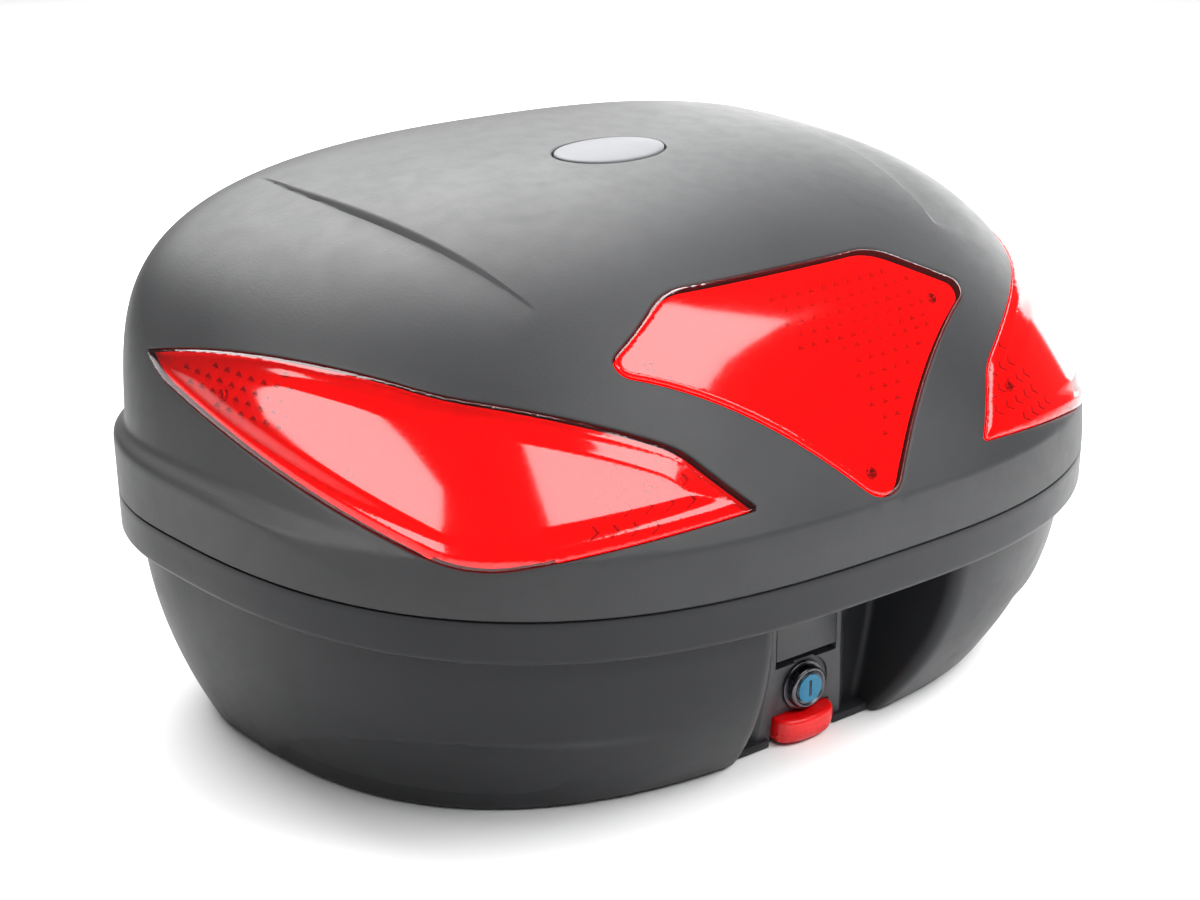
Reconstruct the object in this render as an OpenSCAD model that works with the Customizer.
// Motorcycle top case: a hinged hard case with red reflector lenses, a front lock and an
// underside dock. Origin: centre of the footprint, on the floor. -Y is the lock side.

/* [Case] */
// Overall width of the outline before its plan flare
case_w = 590; // [570:5:610]
// Depth from the outline centre to the lock side
front_d = 257; // [252:1:262]
// Depth from the outline centre to the hinge side
rear_d = 188; // [184:1:192]
// Height of the lid top
case_h = 312; // [300:1:325]
// Height of the parting line
seam_z = 136; // [134:1:138]
// Wall thickness of the lid and the base
wall = 3; // [2.5:0.5:4]
// Gap between the lid edge and the base edge
seam_gap = 0.8; // [0.5:0.1:1.2]
// Roundness of the outline on the lock side
n_front = 2.8; // [2.6:0.1:3]
// Roundness of the outline on the hinge side
n_rear = 2.4; // [2.3:0.1:2.6]
// Widening of the outline towards the hinge side
flare = 0.075; // [0:0.005:0.1]

/* [Base] */
// Height of the flange below the parting line
flange_h = 25; // [23:1:27]
// Step from the flange in to the base wall
flange_step = 10.5; // [9:0.5:12]
// Share of the width kept at the floor
floor_side = 0.905; // [0.88:0.005:0.93]
// Share of the lock side depth kept at the floor
floor_front = 0.8; // [0.78:0.01:0.82]
// Share of the hinge side depth kept at the floor
floor_rear = 0.75; // [0.73:0.01:0.8]
// Half width of the lock recess at its top
recess_w = 65; // [62:1:68]
// Y of the back wall of the lock recess
recess_y = -150; // [-152:1:-149]
// Depth of the dock pocket in the underside
dock_depth = 14; // [13:1:18]

/* [Lid] */
// Height of the upright skirt of the lid
skirt_h = 31; // [29:1:33]
// Step from the skirt in to the dome, at the sides
skirt_step = 6; // [4:0.5:7]
// Depth of the lens pockets
pocket_d = 9; // [8.5:0.5:10]
// Thickness of the lenses
lens_t = 3; // [2.5:0.5:3.5]
// Thickness of the reflector panels
reflector_t = 2; // [1.5:0.5:2]
// Length of the oval plate on top
badge_l = 74; // [60:1:84]

/* [Lenses] */
// Reach of the side lenses behind the middle of their plane
side_lens_rear = 236; // [234:1:237]
// Reach of the side lenses in front of the middle of their plane
side_lens_front = 112; // [110:1:113]
// Half width of the centre lens
center_lens_half = 123; // [121:1:124]
// Height of the centre lens top above the parting line
center_lens_top = 134; // [132:1:135]

/* [Latch] */
// Width of the latch flap
flap_w = 44.4; // [42:0.2:45]
// Height of the pivot of the latch flap
flap_pivot_z = 100; // [99:0.5:101]
// Height of the lock cylinder axis
lock_z = 33; // [32.8:0.1:34]
// Radius of the lock cylinder
cylinder_r = 8.5; // [8:0.1:8.6]
// Width of the release button
button_w = 42; // [40:1:42]

/* [Hinges] */
// Distance of each hinge from the centre plane
hinge_x = 85; // [80:1:90]
// Radius of the hinge pins
pin_r = 2.5; // [2:0.1:2.6]

/* [Hidden] */

plastic = [0.12, 0.12, 0.13];
satin = [0.17, 0.17, 0.18];
red = [0.8, 0.02, 0.03];
steel = [0.6, 0.6, 0.62];

segs = 72;              // points round each outline
half_w = case_w / 2;
centre_y = 30;          // shift of the outline centre that centres the footprint
running = 0.05;         // radial clearance of a turning fit
slack = 0.2;            // clearance round screws
wall_z = seam_z - flange_h;

// Hinge
axis_y = 222;
axis_z = seam_z + seam_gap / 2;
barrel_r = 5;
leaf_t = 3;
pad_y = axis_y - barrel_r - 0.4;
hinge_screw_x = [hinge_x - 9, hinge_x + 9];
leaf_screw_h = 15.6;
lid_screw_z = axis_z + leaf_screw_h;
base_screw_z = axis_z - leaf_screw_h;
screw_r = 1.8;
screw_head_r = screw_r * 1.9;
screw_head_t = 2;
seat = 0.05;            // gap under a screw head

// Lock tower and its bays
tower_root = 42;        // half width of the tower at the recess wall
tower_front = 26;       // half width of the tower at its face
tower_foot = 2;
tower_lean = 5;         // how far the foot of the tower face leans back
tower_knee = 52;        // where the face turns upright
bay_gap = 0.4;
finger_slit = 4.5;
hook_bay_half = 16;
hook_slot_half = 10;    // half width of the slot that the latch hook passes through
hook_bay_wall = 3;
lock_pocket_d = 3;
pin_half = 30;          // half length of the latch pin bore
arch_r = 18;            // radius of the pocket round the lock
face_y = recess_y - 14;
window_w = 20;
window_z0 = 20;
window_z1 = 106;
housing_back = recess_y + 28;
cover_back = housing_back + 8;
cover_half = 30;
cover_z0 = 17.5;
cover_z1 = 114;
cover_t = 2;
cover_rim_half = 40;
cover_rim_t = 3;
hook_half = 12;         // half width of the slot over the latch hook
cover_screw_x = 35;
cover_screw_z = [40, 94];
cover_screw_bite = 6;   // how deep the cover screws go past the wall
cover_bore = 3.4;       // how far the screw bores reach into the tower
flap_z0 = 54;
flap_y = face_y + 7;
flap_back = flap_y + 4.5;
latch_pin_r = 2;
button_z0 = 1;
button_z1 = 17.6;
bezel_r = 14.8;
cylinder_proud = 3.5;   // how far the lock cylinder stands out of the tower face
cam_gap = 0.5;
button_back = face_y + 7;
button_front = face_y - 9;
spring_z = 13.6;
spring_y0 = button_back - 7.4;
bolt_z0 = 5;
bolt_z1 = 9.5;
bolt_half = 10;
bolt_grip = 4;          // how deep the bolt sits in the button
bolt_nose = 6;
bolt_nose_h = 7.5;
spring_bore_r = 3.8;

// Striker
striker_y = -217;
striker_t = 4;
striker_z0 = 142;
striker_z1 = 162;
striker_half = 20;
arm_half = 12;          // half width of the striker arm that carries the eye
eye_half = 8;
eye_h = 13;
striker_back = -167;
eye_z = 119;
striker_screw_x = [-15, 15];
striker_screw_z = 158;
striker_screw_l = 10;
reflector_screw_r = 1.6;

// Dock pocket
dock_w = 75;
dock_y0 = recess_y + wall;
dock_y1 = 130;
dock_frame_t = 4;
bolt_end = dock_y0 + 18;
hook_slot_w = 30;
hook_slot_d = 10;
hook_slot_x = 45;
hook_slot_y = dock_y1 - 34;
catch_half = 20;        // half width of the catch window
catch_d = 20;
relief_half = 32;       // half width of the opening in the middle of the dock frame
relief_y0 = -30;
relief_y1 = 80;
dock_screw_at = [for (x = [-62, 62], y = [dock_y0 + 16, 0, dock_y1 - 12]) [x, y]];

// Dome of the lid
dome_z = seam_z + skirt_h;
dome_rings = 13;
dome_end = 84;          // last angle of the dome, degrees
dome_p = 0.49;          // rise exponent
dome_q = 0.7;           // closing exponent
dome_taper = 0.085;
dome_back = 80;         // rearward drift of the outline up to the top
dome_rear = 0.33;       // extra rounding of the hinge side
dome_n = 2.9;           // roundness of the outline at the top

// Tumblehome of the base
base_rings = 8;
base_p = 1.93;
base_q = 0.97;

function spow(c, e) = sign(c) * pow(abs(c), e);

// One closed outline, anticlockwise from above
function outline(a, bf, br, n, shift, z) = [for (k = [0:segs - 1])
    let (t = 360 * k / segs, e = 2 / (sin(t) < 0 ? n : n_rear),
        y = (sin(t) < 0 ? bf : br) * spow(sin(t), e))
    [a * spow(cos(t), e) * (1 + flare * y / 200), y + shift + centre_y, z]];

// Full outline set in by d
function rim(d, z) = outline(half_w - d, front_d - d, rear_d - d, n_front, 0, z);

// Dome outline at rise s (0 to 1), set in by d
function dome(s, c, d) = outline(half_w * c - d, front_d * c - d,
    rear_d * c * (1 - dome_rear * s) - d, n_front + (dome_n - n_front) * s,
    dome_back * s, dome_z + (case_h - max(d - skirt_step, 0) - dome_z) * s);
function dome_ring(k, d) = let (f = dome_end * pow(k / dome_rings, 1.6),
    s = pow(sin(f), dome_p)) dome(s, pow(cos(f), dome_q) * (1 - dome_taper * s), d + skirt_step);

// Base outline at height share t (0 to 1), set in by d
function base_ring(t, d) = let (e = pow(1 - pow(1 - t, base_p), base_q), i = flange_step + d)
    outline((half_w - i) * (floor_side + (1 - floor_side) * e),
        (front_d - i) * (floor_front + (1 - floor_front) * e),
        (rear_d - i) * (floor_rear + (1 - floor_rear) * e), n_front, 0, wall_z * t);

// Solid through a stack of outlines
module loft(rings) {
    n = segs;
    m = len(rings);
    sides = [for (j = [0:m - 2], k = [0:n - 1]) let (a = j * n + k, b = j * n + (k + 1) % n)
        each [[a, a + n, b + n], [a, b + n, b]]];
    floor_face = [for (k = [0:n - 1]) k];
    top_face = [for (k = [n - 1:-1:0]) (m - 1) * n + k];
    polyhedron([for (r = rings) each r], concat([floor_face, top_face], sides));
}

// Lid as a full solid, set in by d, from height z0 up
module lid_solid(d, z0 = seam_z + seam_gap) {
    skirt_top = dome_z - 7;
    loft(concat([rim(d, z0), rim(d, skirt_top)], [for (k = [0:dome_rings]) dome_ring(k, d)]));
}

// Base as a full solid, set in by d; the top is at z1
module base_solid(d, z1 = seam_z) {
    walls = [for (k = [0:base_rings]) base_ring(k / base_rings, d)];
    lowered = [for (k = [0:base_rings]) [for (p = walls[k]) [p[0], p[1], max(p[2], d)]]];
    keep = [for (k = [0:base_rings]) if (k == 0 || lowered[k][0][2] > d + 1) lowered[k]];
    loft(concat(keep, [rim(d + 1.5, wall_z + 0.5 + d), rim(d, wall_z + 2.5 + d), rim(d, z1)]));
}

// Cylinder along Y from y0 to y1 at x, z
module ycyl(r, x, z, y0, y1, fn = 48) {
    translate([x, y0, z]) rotate([-90, 0, 0]) cylinder(r = r, h = y1 - y0, $fn = fn);
}

// Cylinder along X from x0 to x1 at y, z
module xcyl(r, y, z, x0, x1, fn = 48) {
    translate([x0, y, z]) rotate([0, 90, 0]) cylinder(r = r, h = x1 - x0, $fn = fn);
}

// Box from its low corner to its high corner
module span(lo, hi) {
    translate(lo) cube(hi - lo);
}

// Copies for the left and the right side
module both_sides() {
    children();
    mirror([1, 0, 0]) children();
}

// ---- Lens outlines ----
// Each is drawn in an upright plane; points are [along the plane, above the parting line]
lens_turn = -50;        // heading of the plane that the left side lens is drawn in
lens_start = 80;        // where the lens prisms start, from the centre
lens_reach = 250;
bow_steps = 5;

// Edge from a up to but not including b, drawn towards pull
function bow(a, pull, b) = [for (k = [0:bow_steps - 1]) let (t = k / bow_steps)
    pow(1 - t, 2) * a + 2 * t * (1 - t) * pull + t * t * b];
function above_seam(points) = [for (p = points) [p[0], p[1] + seam_z]];

side_tail = [-side_lens_rear, 90];
side_waist = [-45, 100];
side_brow = [72, 72];
side_tip = [side_lens_front, 42];
side_heel = [-15, 24];
side_rump = [-222, 80];
side_lens = above_seam(concat(bow(side_tail, [-140, 120], side_waist),
    bow(side_waist, [20, 94], side_brow), [side_brow], bow(side_tip, [50, 37], side_heel),
    bow(side_heel, [-110, 51], side_rump), [side_rump]));

center_ear = [center_lens_half, 111];
center_lobe = [center_lens_half - 2, 104];
center_foot = [8, 33];
center_right = above_seam(concat([[74, center_lens_top], center_ear],
    bow(center_lobe, [62, 90], center_foot), [center_foot]));
center_lens = concat(center_right,
    [for (k = [len(center_right) - 1:-1:0]) [-center_right[k][0], center_right[k][1]]]);

module side_prism(grow = 0) {
    rotate([0, 0, lens_turn]) rotate([90, 0, 0]) translate([0, 0, lens_start])
        linear_extrude(height = lens_reach) offset(delta = grow) polygon(side_lens);
}

module center_prism(grow = 0) {
    rotate([90, 0, 0]) translate([0, 0, lens_start])
        linear_extrude(height = lens_reach) offset(delta = grow) polygon(center_lens);
}

module all_prisms(grow = 0) {
    both_sides() side_prism(grow);
    center_prism(grow);
}

// Layer of the lid between depth d0 and depth d1
module lid_layer(d0, d1) {
    difference() {
        lid_solid(d0);
        lid_solid(d1, 0);
    }
}

// Keeps a curved shape as one mesh
module as_mesh() {
    resize([0, 0, 0]) children();
}

// ---- Lid body ----
lens_fit = 0.5;         // gap from a lens to the edge of its pocket
lens_proud = 1;         // how far the lenses stand out of the lid
reflector_top = pocket_d - reflector_t;
badge_y = 22;
badge_tilt = 4.5;
badge_h = 2.6;
badge_ratio = 0.61;

module badge_blank(grow, h, lift) {
    translate([0, badge_y, case_h - 4.6]) rotate([badge_tilt, 0, 0]) translate([0, 0, lift])
        scale([1, badge_ratio, 1]) cylinder(r = badge_l / 2 + grow, h = h, $fn = 64);
}

// Screw places in the lens planes
side_screws = above_seam([[-178, 83], [-90, 64], [62, 60]]);
center_screws = above_seam([[-101, 109], [101, 109], [0, 45]]);

// Rods across the reflectors at every screw
module screw_rods(r) {
    both_sides() for (p = side_screws) rotate([0, 0, lens_turn]) rotate([90, 0, 0])
        translate([p[0], p[1], lens_start]) cylinder(r = r, h = lens_reach, $fn = 16);
    for (p = center_screws) rotate([90, 0, 0])
        translate([p[0], p[1], lens_start]) cylinder(r = r, h = lens_reach, $fn = 16);
}

module lid_shell() {
    color(plastic) as_mesh() difference() {
        union() {
            lid_layer(0, wall);
            intersection() {
                lid_layer(0, pocket_d + wall);
                all_prisms(wall);
            }
            intersection() {
                lid_solid(0);
                striker_pad();
            }
            both_sides() lid_hinge_pad();
        }
        intersection() {
            lid_layer(-5, pocket_d);
            all_prisms(0);
        }
        badge_blank(0.6, 8, 0);
        intersection() {
            lid_layer(pocket_d - 1, pocket_d + wall + 1);
            screw_rods(reflector_screw_r + slack);
        }
        both_sides() for (x = hinge_screw_x)
            ycyl(screw_r + slack, x, lid_screw_z, pad_y - screw_bore_l, pad_y + 1, 16);
        for (x = striker_screw_x)
            ycyl(screw_r + slack, x, striker_screw_z, striker_y - 7, striker_y + 1, 16);
    }
}

module side_lens_left() {
    as_mesh() intersection() {
        lid_layer(-lens_proud, lens_t - lens_proud);
        side_prism(-lens_fit);
    }
}

module lens_left() { color(red) side_lens_left(); }
module lens_right() { color(red) mirror([1, 0, 0]) side_lens_left(); }
module lens_center() {
    color(red) as_mesh() intersection() {
        lid_layer(-lens_proud, lens_t - lens_proud);
        center_prism(-lens_fit);
    }
}

module side_reflector() {
    as_mesh() difference() {
        intersection() {
            lid_layer(reflector_top, pocket_d - 0.05);
            side_prism(-2 * lens_fit);
        }
        screw_rods(reflector_screw_r + slack);
    }
}

module reflector_left() { color(red) side_reflector(); }
module reflector_right() { color(red) mirror([1, 0, 0]) side_reflector(); }
module reflector_center() {
    color(red) as_mesh() difference() {
        intersection() {
            lid_layer(reflector_top, pocket_d - 0.05);
            center_prism(-2 * lens_fit);
        }
        screw_rods(reflector_screw_r + slack);
    }
}

module reflector_screws() {
    color(steel) as_mesh() union() {
        intersection() {
            lid_layer(reflector_top - 2.5, reflector_top - 0.05);
            screw_rods(3.5);
        }
        intersection() {
            lid_layer(reflector_top - 1, pocket_d + wall + 2);
            screw_rods(reflector_screw_r);
        }
    }
}

module badge_plate() {
    color("silver") badge_blank(0, badge_h, 0.05);
}

// Hook plate on the front wall of the lid; its eye takes the nose of the latch
module striker() {
    color(steel) difference() {
        union() {
            span([-striker_half, striker_y, striker_z0],
                [striker_half, striker_y + striker_t, striker_z1]);
            span([-arm_half, striker_y + striker_t - 1, striker_z0 + 8],
                [arm_half, striker_back, striker_z0 + 12]);
            span([-arm_half, striker_back - striker_t, eye_z - striker_t],
                [arm_half, striker_back, striker_z0 + 10]);
        }
        span([-eye_half, striker_back - striker_t - 1, eye_z],
            [eye_half, striker_back + 1, eye_z + eye_h]);
        for (x = striker_screw_x)
            ycyl(screw_r + slack, x, striker_screw_z, striker_y - 1, striker_y + striker_t + 1);
    }
}

// Solid pad behind the striker
module striker_pad() {
    span([-striker_half - 2, -half_w, striker_z0 - 2], [striker_half + 2, striker_y, striker_z1 + 1]);
}

// Pan head screw along Y: the head starts at y and the shank runs to y + reach
module yscrew(x, z, y, reach) {
    away = sign(reach);
    shank_lo = min(y, y + reach);
    ycyl(screw_r, x, z, shank_lo, shank_lo + abs(reach));
    ycyl(screw_head_r, x, z, min(y, y - away * screw_head_t), max(y, y - away * screw_head_t));
}

module striker_screws() {
    color(steel) for (x = striker_screw_x)
        yscrew(x, striker_screw_z, striker_y + striker_t + seat, -striker_screw_l);
}

// ---- Hinges ----
leaf_w = 28;            // half width of a hinge leaf
leaf_h = 24;            // reach of a leaf from the axis
leaf_foot = 6.2;        // where the full width of a leaf begins
knuckle_w = 16;         // half width of the middle barrel
knuckle_gap = 1;        // gap between the barrels
pad_w = leaf_w + 2;
pad_t = 17;
pad_h = 25;
lid_pad_foot = 2.9;
base_pad_top = 2.4;
hinge_screw_l = 15;
screw_bore_l = 14;

module lid_hinge_pad() {
    span([hinge_x - pad_w, pad_y - pad_t, axis_z + lid_pad_foot],
        [hinge_x + pad_w, pad_y, axis_z + pad_h]);
}

module base_hinge_pad() {
    span([hinge_x - pad_w, pad_y - pad_t, axis_z - pad_h],
        [hinge_x + pad_w, pad_y, axis_z - base_pad_top]);
}

// Leaf with barrels over the x stretches; up is 1 for the lid and -1 for the base
module hinge_leaf(up, stretches, bore) {
    difference() {
        union() {
            translate([0, 0, axis_z]) mirror([0, 0, up < 0 ? 1 : 0]) {
                span([hinge_x - leaf_w, pad_y, leaf_foot], [hinge_x + leaf_w, pad_y + leaf_t, leaf_h]);
                for (s = stretches) span([s[0], pad_y, 0], [s[1], pad_y + leaf_t, leaf_h]);
            }
            for (s = stretches) xcyl(barrel_r, axis_y, axis_z, s[0], s[1]);
        }
        xcyl(bore, axis_y, axis_z, hinge_x - leaf_w - 1, hinge_x + leaf_w + 1);
        for (x = hinge_screw_x)
            ycyl(screw_r + slack, x, axis_z + up * leaf_screw_h, pad_y - 1, pad_y + leaf_t + 1);
    }
}

module base_hinge_left() { color(plastic) mirror([1, 0, 0]) base_leaf(); }
module base_hinge_right() { color(plastic) base_leaf(); }
module base_leaf() {
    inner = knuckle_w + knuckle_gap;
    hinge_leaf(-1, [[hinge_x - leaf_w, hinge_x - inner], [hinge_x + inner, hinge_x + leaf_w]], pin_r);
}

module lid_hinge_left() { color(plastic) mirror([1, 0, 0]) lid_leaf(); }
module lid_hinge_right() { color(plastic) lid_leaf(); }
module lid_leaf() {
    hinge_leaf(1, [[hinge_x - knuckle_w, hinge_x + knuckle_w]], pin_r + running);
}

module hinge_pin_left() { color(steel) mirror([1, 0, 0]) hinge_pin_right(); }
module hinge_pin_right() {
    color(steel) xcyl(pin_r, axis_y, axis_z, hinge_x - leaf_w - 1, hinge_x + leaf_w + 1);
}

module lid_hinge_screws() {
    color(steel) both_sides() for (x = hinge_screw_x)
        yscrew(x, lid_screw_z, pad_y + leaf_t + seat, -hinge_screw_l);
}

module base_hinge_screws() {
    color(steel) both_sides() for (x = hinge_screw_x)
        yscrew(x, base_screw_z, pad_y + leaf_t + seat, -hinge_screw_l);
}

// ---- Base body ----
recess_draw = 15;       // how far each side of the recess closes in towards the floor
recess_steps = 5;

// Recess in the lock side, open below; grow widens it for its own walls
module recess(grow = 0) {
    w = recess_w + grow;
    side = concat([[w, wall_z + grow]], [for (k = [1:recess_steps]) let (t = k / recess_steps)
        [w - recess_draw * t * t, wall_z * (1 - t)]], [[w - recess_draw, -1]]);
    all = concat(side, [for (k = [len(side) - 1:-1:0]) [-side[k][0], side[k][1]]]);
    translate([0, recess_y + grow, 0]) rotate([90, 0, 0])
        linear_extrude(height = 200) polygon(all);
}

module base_shell() {
    color(satin) as_mesh() difference() {
        union() {
            difference() {
                base_solid(0);
                base_solid(wall, seam_z + 20);
            }
            intersection() {
                base_solid(0);
                recess(wall);
            }
            span([-dock_w - wall, dock_y0 - wall, 1], [dock_w + wall, dock_y1 + wall, dock_depth + wall]);
            both_sides() base_hinge_pad();
        }
        recess(0);
        span([-dock_w, dock_y0, -1], [dock_w, dock_y1, dock_depth]);
        span([-window_w, recess_y - 1, window_z0], [window_w, recess_y + wall + 1, window_z1]);
        span([-hook_slot_half, face_y, window_z1 - 1],
            [hook_slot_half, recess_y + wall + 1, wall_z + wall + 1]);
        span([-bolt_half - 1, recess_y - 1, bolt_z0 - 1], [bolt_half + 1, dock_y0 + 1, bolt_z1 + 1]);
        both_sides() for (x = hinge_screw_x)
            ycyl(screw_r + slack, x, base_screw_z, pad_y - screw_bore_l, pad_y + 1, 16);
        for (p = dock_screw_at) translate([p[0], p[1], dock_depth - 1])
            cylinder(r = screw_r + slack, h = wall + 2, $fn = 16);
        for (x = [-cover_screw_x, cover_screw_x], z = cover_screw_z)
            ycyl(screw_r + slack, x, z, recess_y - 1, recess_y + wall + 1, 16);
    }
}

seal_h = 6;
seal_t = 4.5;
seal_lip = 2.5;         // how far the lip stands up inside the lid skirt
seal_notch_y = 190;     // where the strip is cut back for the hinge pads

// Soft strip on the inside of the base rim; its lip stands up inside the lid skirt
module rim_seal() {
    color("black") as_mesh() difference() {
        loft([rim(wall, seam_z - seal_h), rim(wall, seam_z - 0.5), rim(wall + 1, seam_z - 0.4),
            rim(wall + 1, seam_z + seal_lip)]);
        loft([rim(wall + seal_t, seam_z - seal_h - 1), rim(wall + seal_t, seam_z + seal_lip + 1)]);
        for (x = [-hinge_x, hinge_x]) span([x - pad_w - 2, seal_notch_y, seam_z - seal_h - 2],
            [x + pad_w + 2, seal_notch_y + 40, seam_z - 2]);
    }
}

// Plate in the dock pocket with two hook slots and the catch window
module dock_frame() {
    color(plastic) difference() {
        span([-dock_w + 1, dock_y0 + 1, dock_depth - dock_frame_t], [dock_w - 1, dock_y1 - 1, dock_depth]);
        for (x = [-hook_slot_x, hook_slot_x])
            span([x - hook_slot_w / 2, hook_slot_y, 0],
                [x + hook_slot_w / 2, hook_slot_y + hook_slot_d, dock_depth + 1]);
        span([-catch_half, dock_y0 + 4, 0], [catch_half, dock_y0 + 4 + catch_d, dock_depth + 1]);
        span([-relief_half, relief_y0, 0], [relief_half, relief_y1, dock_depth + 1]);
        for (p = dock_screw_at) translate([p[0], p[1], 0])
            cylinder(r = screw_r + slack, h = dock_depth + 1, $fn = 32);
    }
}

module dock_screws() {
    color(steel) for (p = dock_screw_at) translate([p[0], p[1], dock_depth - dock_frame_t - seat]) {
        cylinder(r = screw_r, h = dock_frame_t + wall, $fn = 32);
        translate([0, 0, -screw_head_t]) cylinder(r = screw_head_r, h = screw_head_t, $fn = 32);
    }
}

// Lock tower in the recess, with the flap bay, the cylinder bore and the button bay
module lock_housing() {
    slope = [[recess_y, tower_foot], [face_y + tower_lean, tower_foot], [face_y, tower_knee],
        [face_y, wall_z - 1], [recess_y, wall_z - 1]];
    plan = [[-tower_root, recess_y], [-tower_front, face_y],
        [tower_front, face_y], [tower_root, recess_y]];
    color(plastic) difference() {
        union() {
            intersection() {
                translate([-50, 0, 0]) rotate([90, 0, 90]) linear_extrude(height = 100) polygon(slope);
                linear_extrude(height = 150) polygon(plan);
            }
            span([-window_w + slack, recess_y - 2, window_z0 + slack],
                [window_w - slack, housing_back, window_z1 - slack]);
        }
        // flap bay with its finger slit below the flap
        span([-flap_w / 2 - bay_gap, face_y - 2, flap_z0 - finger_slit],
            [flap_w / 2 + bay_gap, flap_back, wall_z]);
        span([-hook_bay_half, flap_back - 1, flap_z0 + hook_bay_wall],
            [hook_bay_half, housing_back - hook_bay_wall, wall_z]);
        // arched pocket round the lock
        span([-arch_r, face_y - 2, button_z1], [arch_r, face_y + lock_pocket_d, lock_z]);
        ycyl(arch_r, 0, lock_z, face_y - 2, face_y + lock_pocket_d);
        ycyl(cylinder_r + running, 0, lock_z, face_y - 2, housing_back + 1);
        // button bay
        span([-button_w / 2 - bay_gap, face_y - 2, 0],
            [button_w / 2 + bay_gap, recess_y + 1, button_z1 + bay_gap]);
        xcyl(latch_pin_r, flap_y, flap_pivot_z, -pin_half, pin_half);
        for (x = [-cover_screw_x, cover_screw_x], z = cover_screw_z)
            ycyl(screw_r + slack, x, z, recess_y - cover_bore, recess_y + 1);
    }
}

module lock_bezel() {
    color([0.2, 0.2, 0.22]) difference() {
        union() {
            ycyl(bezel_r, 0, lock_z, face_y + 1, face_y + 3);
            ycyl(bezel_r - 2, 0, lock_z, face_y - 4, face_y + 1);
        }
        ycyl(cylinder_r + running, 0, lock_z, face_y - 5, face_y + 4);
    }
}

module inner_lock_cover() {
    color(plastic) difference() {
        union() {
            span([-cover_half, recess_y + wall, cover_z0], [cover_half, cover_back, cover_z1]);
            span([-cover_rim_half, recess_y + wall, cover_screw_z[0] - 10],
                [cover_rim_half, recess_y + wall + cover_rim_t, cover_screw_z[1] + 10]);
        }
        span([-cover_half + cover_t, recess_y + wall - 1, cover_z0 + cover_t],
            [cover_half - cover_t, cover_back - cover_t, cover_z1 - cover_t]);
        span([-hook_half, recess_y + wall - 1, window_z1 - 1],
            [hook_half, recess_y + wall + 16, cover_z1 + 6]);
        for (x = [-cover_screw_x, cover_screw_x], z = cover_screw_z)
            ycyl(screw_r + slack, x, z, recess_y, recess_y + 8, 32);
    }
}

module cover_screws() {
    color(steel) for (x = [-cover_screw_x, cover_screw_x], z = cover_screw_z)
        yscrew(x, z, recess_y + wall + cover_rim_t + seat, -wall - cover_screw_bite);
}

module latch_pin() {
    color(steel) xcyl(latch_pin_r, flap_y, flap_pivot_z, -pin_half + slack, pin_half - slack);
}

// Ring points and body of a coil of round wire about the Z axis
function coil_ring(r, wire, pitch, a) = [for (k = [0:7]) let (b = 45 * k, q = r + wire * cos(b))
    [q * cos(a), q * sin(a), pitch * a / 360 + wire * sin(b)]];

module coil(r, wire, turns, len) {
    n = 16 * turns;
    pitch = len / turns;
    rings = [for (j = [0:n]) coil_ring(r, wire, pitch, 22.5 * j)];
    sides = [for (j = [0:n - 1], k = [0:7]) let (a = j * 8 + k, b = j * 8 + (k + 1) % 8)
        each [[a, b, b + 8], [a, b + 8, a + 8]]];
    polyhedron([for (r = rings) each r],
        concat([[for (k = [7:-1:0]) k], [for (k = [0:7]) n * 8 + k]], sides));
}

module latch_spring() {
    color(steel) translate([8, flap_y, flap_pivot_z]) rotate([0, 90, 0]) coil(2.8, 0.4, 5, 5.6);
}

module button_spring() {
    color(steel) translate([0, spring_y0, spring_z]) rotate([-90, 0, 0])
        coil(3, 0.4, 5, recess_y - spring_y0 - 0.8);
}

// ---- Latch flap body ----
flap_t = 3.5;
flap_barrel_r = 4;
flap_barrel_x = 19;
hook_half_w = 6;
hook_t = 3;
hook_nose = 4;

function barrel_half(x) = x == 0 ? 6 : 3;

module latch_flap() {
    color(plastic) difference() {
        union() {
            span([-flap_w / 2, face_y, flap_z0],
                [flap_w / 2, face_y + flap_t, flap_pivot_z + flap_barrel_r]);
            for (x = [-flap_barrel_x, 0, flap_barrel_x])
                xcyl(flap_barrel_r, flap_y, flap_pivot_z, x - barrel_half(x), x + barrel_half(x));
        }
        xcyl(latch_pin_r + running, flap_y, flap_pivot_z, -pin_half, pin_half);
    }
}

// Arm behind the barrel with a nose over the lower bar of the striker's eye
module latch_hook() {
    color(steel) {
        span([-hook_half_w, flap_y + flap_barrel_r, flap_pivot_z - 2 * flap_barrel_r],
            [hook_half_w, flap_y + flap_barrel_r + hook_t, eye_z + hook_t + hook_nose]);
        span([-hook_half_w, striker_back - 2 * striker_t, eye_z + bay_gap],
            [hook_half_w, flap_y + flap_barrel_r, eye_z + bay_gap + hook_nose]);
    }
}

// ---- Lock cylinder body ----
key_t = 2;
key_h = 10;
key_d = 20;             // depth of the key slot behind the tower face
key_face_t = 1;
cam_r = 7;
cam_half = 3.5;
cam_t = 2.5;
cam_reach = 16;

module keyway(y0, y1) {
    span([-key_t / 2, y0, lock_z - key_h / 2], [key_t / 2, y1, lock_z + key_h / 2]);
}

module key_cylinder() {
    color(steel) difference() {
        ycyl(cylinder_r, 0, lock_z, face_y - cylinder_proud, housing_back + cam_gap);
        keyway(face_y - cylinder_proud - 1, face_y + key_d);
    }
}

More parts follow.
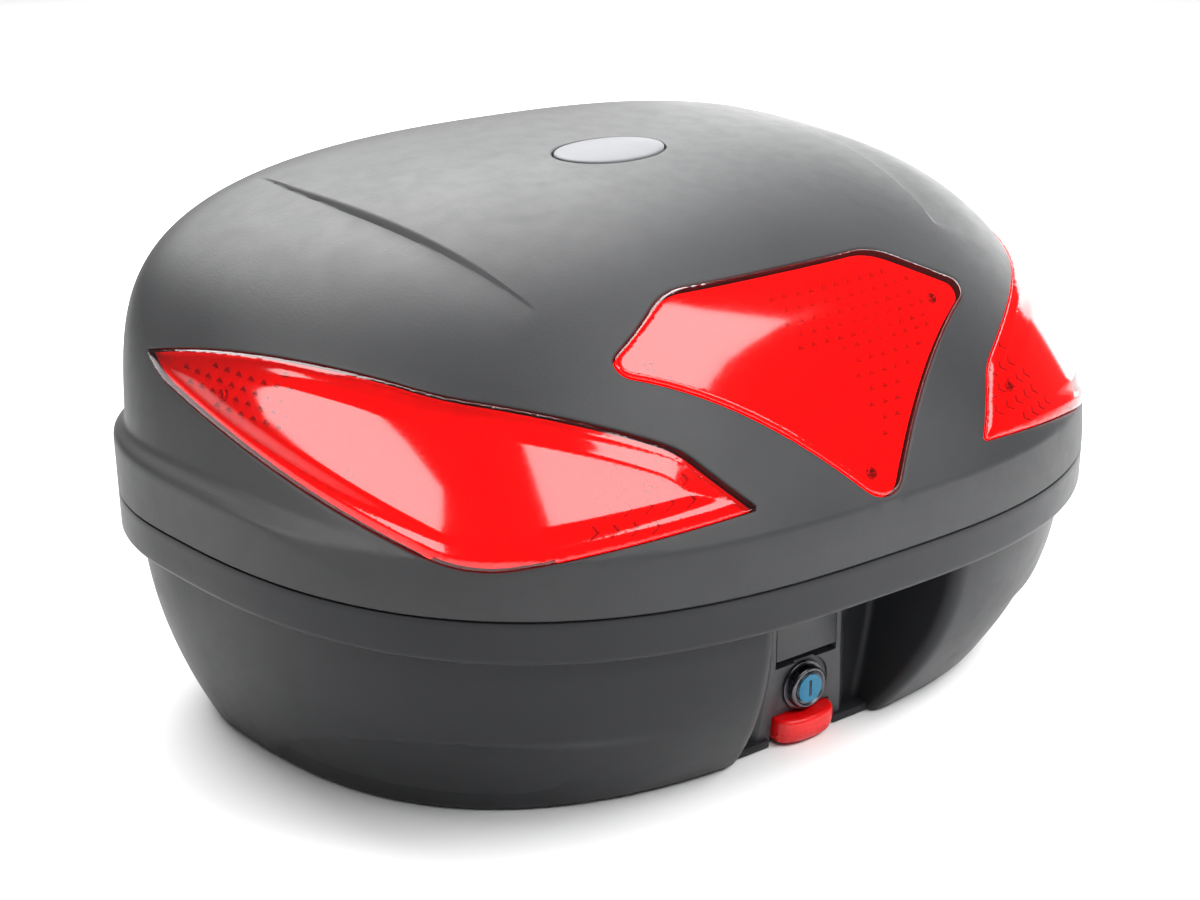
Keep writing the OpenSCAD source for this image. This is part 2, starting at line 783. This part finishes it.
module key_face() {
    color("deepskyblue") difference() {
        ycyl(cylinder_r, 0, lock_z, face_y - cylinder_proud - key_face_t, face_y - cylinder_proud);
        keyway(face_y - cylinder_proud - 2 * key_face_t, face_y - cylinder_proud + key_face_t);
    }
}

// Cam on the inner end of the cylinder
module lock_cam() {
    color(steel) {
        ycyl(cam_r, 0, lock_z, housing_back + cam_gap, housing_back + cam_gap + cam_t);
        span([-cam_half, housing_back + cam_gap, lock_z],
            [cam_half, housing_back + cam_gap + cam_t, lock_z + cam_reach]);
    }
}

// ---- Release button body ----
function button_plan(n) = concat([[-button_w / 2, button_back]],
    [for (k = [0:n]) let (a = 180 + 180 * k / n)
        [button_w / 2 * spow(cos(a), 0.7), face_y + 3 + (face_y + 3 - button_front) * sin(a)]],
    [[button_w / 2, button_back]]);

module release_button() {
    color(red) difference() {
        translate([0, 0, button_z0]) linear_extrude(height = button_z1 - button_z0)
            polygon(button_plan(20));
        ycyl(spring_bore_r, 0, spring_z, spring_y0 - 1, button_back + 1);
        span([-bolt_half, button_back - bolt_grip, bolt_z0], [bolt_half, button_back + 1, bolt_z1]);
    }
}

// Bolt from the button into the dock pocket, with a catch nose at its end
module release_bolt() {
    color(steel) {
        span([-bolt_half, button_back - bolt_grip, bolt_z0], [bolt_half, bolt_end, bolt_z1]);
        span([-bolt_half, bolt_end - bolt_nose, bolt_z1 - bolt_nose_h], [bolt_half, bolt_end, bolt_z1]);
    }
}

base_shell();
rim_seal();
dock_frame();
dock_screws();
lock_housing();
lock_bezel();
inner_lock_cover();
cover_screws();
latch_pin();
latch_spring();
button_spring();
base_hinge_left();
base_hinge_right();
hinge_pin_left();
hinge_pin_right();
base_hinge_screws();
lid_shell();
lens_left();
lens_right();
lens_center();
reflector_left();
reflector_right();
reflector_center();
reflector_screws();
badge_plate();
striker();
striker_screws();
lid_hinge_left();
lid_hinge_right();
lid_hinge_screws();
latch_flap();
latch_hook();
key_cylinder();
key_face();
lock_cam();
release_button();
release_bolt();
